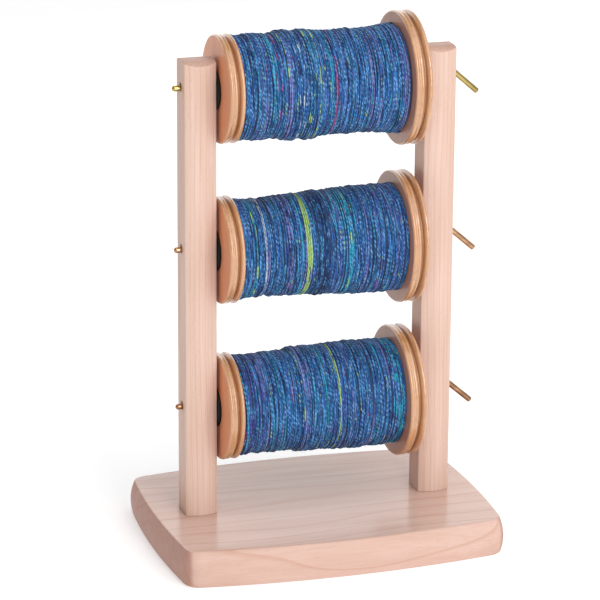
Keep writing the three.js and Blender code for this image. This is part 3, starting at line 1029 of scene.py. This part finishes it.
def rod(level, material):
    node = f"{level}_rod"
    bend_x = highest("right_upright")[0] - BEND_INSIDE
    height = axis_height(level) + ROD_RISE
    sides = 40
    points = []
    line = rod_line(lowest(node)[0], bend_x, height)
    for (x, z), angle, radius in line:
        for a in full_circle(sides):
            y, out = radius * math.sin(a), radius * math.cos(a)
            points.append((x + out * math.sin(angle), y, z + out * math.cos(angle)))
    faces = grid_faces(len(line), sides, close_columns=True)
    faces += end_faces(len(points), sides)
    obj = mesh_object(f"{level}_wire", points, faces, [material])
    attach(obj, node)
    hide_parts(node)


# ---- Screws --------------------------------------------------------------------------------------

THREAD_PITCH = 2.0 * MM
THREAD_DEPTH = 0.6 * MM
HEAD_EDGE = 0.3 * MM
HEAD_CONE = 2.6 * MM
SHANK_R = 2.3 * MM
NECK_LENGTH = 10 * MM
POINT_LENGTH = 5 * MM
RECESS_REACH = 0.55 * SCREW_HEAD_R
RECESS_HALF_WIDTH = 0.55 * MM
RECESS_DEPTH = 1.6 * MM


def screw_radii(z, angle, length):
    """A screw's radius at a height and each angle: head, plain neck, then thread to the point."""
    if z < HEAD_CONE:
        narrowed = max(z - HEAD_EDGE, 0) / HEAD_CONE * (SCREW_HEAD_R - SHANK_R)
        return np.full(len(angle), SCREW_HEAD_R - narrowed)
    if z <= HEAD_CONE + NECK_LENGTH:
        return np.full(len(angle), SHANK_R)
    phase = np.mod(z / THREAD_PITCH - angle / (2 * math.pi), 1)
    ridge = np.maximum(0, 1 - np.abs(phase - 0.5) * 4)
    taper = min(1.0, (length - z) / POINT_LENGTH)
    return (SHANK_R - THREAD_DEPTH + THREAD_DEPTH * ridge) * taper


def cross_recess(centre, bottom):
    """Cutters for the cross in a screw's head."""
    cutters = []
    for reach_x, reach_y in ((RECESS_REACH, RECESS_HALF_WIDTH), (RECESS_HALF_WIDTH, RECESS_REACH)):
        corners = [
            (centre[0] + sx * reach_x, centre[1] + sy * reach_y, bottom + sz * RECESS_DEPTH)
            for sz in (-1, 1)
            for sx, sy in ((-1, -1), (1, -1), (1, 1), (-1, 1))
        ]
        faces = end_faces(8, 4) + grid_faces(2, 4, close_columns=True)
        cutters.append(mesh_object("cutter", corners, faces))
    return cutters


def screw(node, material):
    """A countersunk wood screw, point up, with a real helical thread and a cross recess."""
    low, high = lowest(node), highest(node)
    centre, length = (low + high) / 2, high[2] - low[2]
    thread = np.arange(HEAD_CONE + NECK_LENGTH, length, THREAD_PITCH / 8)
    heights = np.concatenate([[0, HEAD_EDGE, HEAD_CONE], thread])
    angle = full_circle(32)
    points = []
    for z in heights:
        points += [
            (centre[0] + r * math.cos(a), centre[1] + r * math.sin(a), low[2] + z)
            for r, a in zip(screw_radii(z, angle, length), angle, strict=True)
        ]
    tip, sides = len(points), len(angle)
    points.append((centre[0], centre[1], high[2]))
    faces = grid_faces(len(heights), sides, close_columns=True)
    faces.append(list(range(sides)))
    faces += [[tip - sides + i, tip - sides + (i + 1) % sides, tip] for i in range(sides)]
    obj = mesh_object(node.replace("_screw", "_wood_screw"), points, faces, [material])
    cut_with(obj, cross_recess(centre, low[2]))
    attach(obj, "frame")
    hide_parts(node)


# ---- Surroundings --------------------------------------------------------------------------------

CAMERA_AZIMUTH = math.radians(-17.5)
CAMERA_ELEVATION = math.radians(17.03)
CAMERA_ROLL = math.radians(0.37)
CAMERA_DISTANCE = 2.6856
CAMERA_TARGET = Vector((-0.0144, 0.0, BASE_TOP + 0.1836))
CAMERA_LENS = 186.4
CAMERA_SENSOR = 36.0


def camera():
    data = bpy.data.cameras.new("camera")
    data.lens = CAMERA_LENS
    data.sensor_width = CAMERA_SENSOR
    obj = add_object("camera", data)
    level, rise = math.cos(CAMERA_ELEVATION), math.sin(CAMERA_ELEVATION)
    back = Vector((level * math.sin(CAMERA_AZIMUTH), -level * math.cos(CAMERA_AZIMUTH), rise))
    obj.location = CAMERA_TARGET + back * CAMERA_DISTANCE
    obj.rotation_euler = back.to_track_quat("Z", "Y").to_matrix().to_euler()
    obj.rotation_euler.rotate_axis("Z", CAMERA_ROLL)
    bpy.context.scene.camera = obj


MIDDLE = Vector((0, 0, 0.22))
HORIZON_LIGHT = 0.80
OVERHEAD_LIGHT = 0.20
OVERHEAD_FROM = 0.9  # height of a direction from which the light is the overhead one
RIGHTWARD_LIGHT = 0.15
WHITE = (1.0, 1.0, 1.0)
FLOOR_REACH = 6.0


def light(name, kind, direction, distance, energy):
    """A light that faces the middle of the kate from a direction."""
    data = bpy.data.lights.new(name, kind)
    data.energy = energy
    obj = add_object(name, data)
    aim = Vector(direction).normalized()
    obj.location = MIDDLE + aim * distance
    obj.rotation_euler = aim.to_track_quat("Z", "Y").to_euler()
    return data


def softbox(name, direction, distance, size, power):
    data = light(name, "AREA", direction, distance, power)
    data.shape = "RECTANGLE"
    data.size, data.size_y = size


def surroundings():
    """A pale world, brightest at the horizon and dimmer to the left."""
    world = bpy.data.worlds.new("world")
    bpy.context.scene.world = world
    world.use_nodes = True
    nodes, links = world.node_tree.nodes, world.node_tree.links
    background = nodes["Background"]
    split = nodes.new("ShaderNodeSeparateXYZ")
    fade = nodes.new("ShaderNodeMapRange")
    fade.inputs["From Max"].default_value = OVERHEAD_FROM
    fade.inputs["To Min"].default_value = HORIZON_LIGHT
    fade.inputs["To Max"].default_value = OVERHEAD_LIGHT
    side = nodes.new("ShaderNodeMath")
    side.operation = "MULTIPLY_ADD"
    side.inputs[1].default_value = RIGHTWARD_LIGHT
    links.new(nodes.new("ShaderNodeTexCoord").outputs["Generated"], split.inputs[0])
    links.new(split.outputs["Z"], fade.inputs["Value"])
    links.new(split.outputs["X"], side.inputs[0])
    links.new(fade.outputs[0], side.inputs[2])
    links.new(side.outputs[0], background.inputs["Strength"])
    background.inputs["Color"].default_value = (*WHITE, 1.0)


def studio():
    """The surroundings, a key light and a strip in front, a wide softbox behind and a soft sun."""
    surroundings()
    softbox("front", (0.06, -1.0, 0.42), 1.7, (0.30, 1.4), 8)
    softbox("strip", (0.33, -0.88, 0.42), 1.7, (0.20, 1.4), 5)
    softbox("behind", (-0.1, 1.0, 0.36), 2.0, (3.6, 1.3), 12)
    above = light("above", "SUN", (0.15, -0.45, 1.0), 2.0, 1.5)
    above.angle = math.radians(80)
    bpy.context.scene.view_settings.view_transform = "Standard"


def floor():
    nodes = Nodes("floor", Roughness=0.9, Specular_IOR_Level=0.1, Emission_Strength=0.35)
    nodes.feed(WHITE, nodes.shader.inputs["Emission Color"])
    tone = nodes.noise(nodes.place((3, 3, 3)), detail=1)
    material = nodes.finish(nodes.mix(tone, (0.78, 0.78, 0.78), (0.80, 0.80, 0.80)))
    mesh = bpy.data.meshes.new("floor")
    half = FLOOR_REACH
    corners = [(-half, -half, 0), (half, -half, 0), (half, half, 0), (-half, half, 0)]
    mesh.from_pydata(corners, [], [(0, 1, 2, 3)])
    mesh.materials.append(material)
    add_object("floor", mesh)


# ---- The whole scene -----------------------------------------------------------------------------

camera()
studio()
floor()
base_board()
for side in SIDES:
    upright(side)
STEEL = screw_steel()
for node in SCREWS:
    screw(node, STEEL)
YELLOW, REFLECTION_TINTED = brass("yellow_brass", *YELLOW_BRASS), brass("reflection_tinted_brass", *REFLECTION_TINTED_BRASS)
# The lower two rods get the reddish brass, a painted reflection tint.
ROD_METALS = {"bottom": REFLECTION_TINTED, "middle": REFLECTION_TINTED, "top": YELLOW}
PLASTIC, CORE_SHADE = black_plastic(), yarn_core_shade()
for number, level in enumerate(LEVELS):
    rod(level, ROD_METALS[level])
    shift = (0.37 * number, 0.21 * number, 0.0)
    for size, face_colour_and_shade in FLANGE_FACES_AND_SHADE.items():
        wood = lacquered_wood(f"{level}_{size}_lacquered_wood", shift, face_colour_and_shade)
        flange(level, size, wood)
    for side in SIDES:
        bush(level, side, PLASTIC)
    yarn(level, yarn_fibre(f"{level}_yarn_fibre", 13.0 * number, STRETCHES[level]), CORE_SHADE)
    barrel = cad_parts[f"{level}_barrel"].data
    barrel.materials.clear()
    barrel.materials.append(wood)
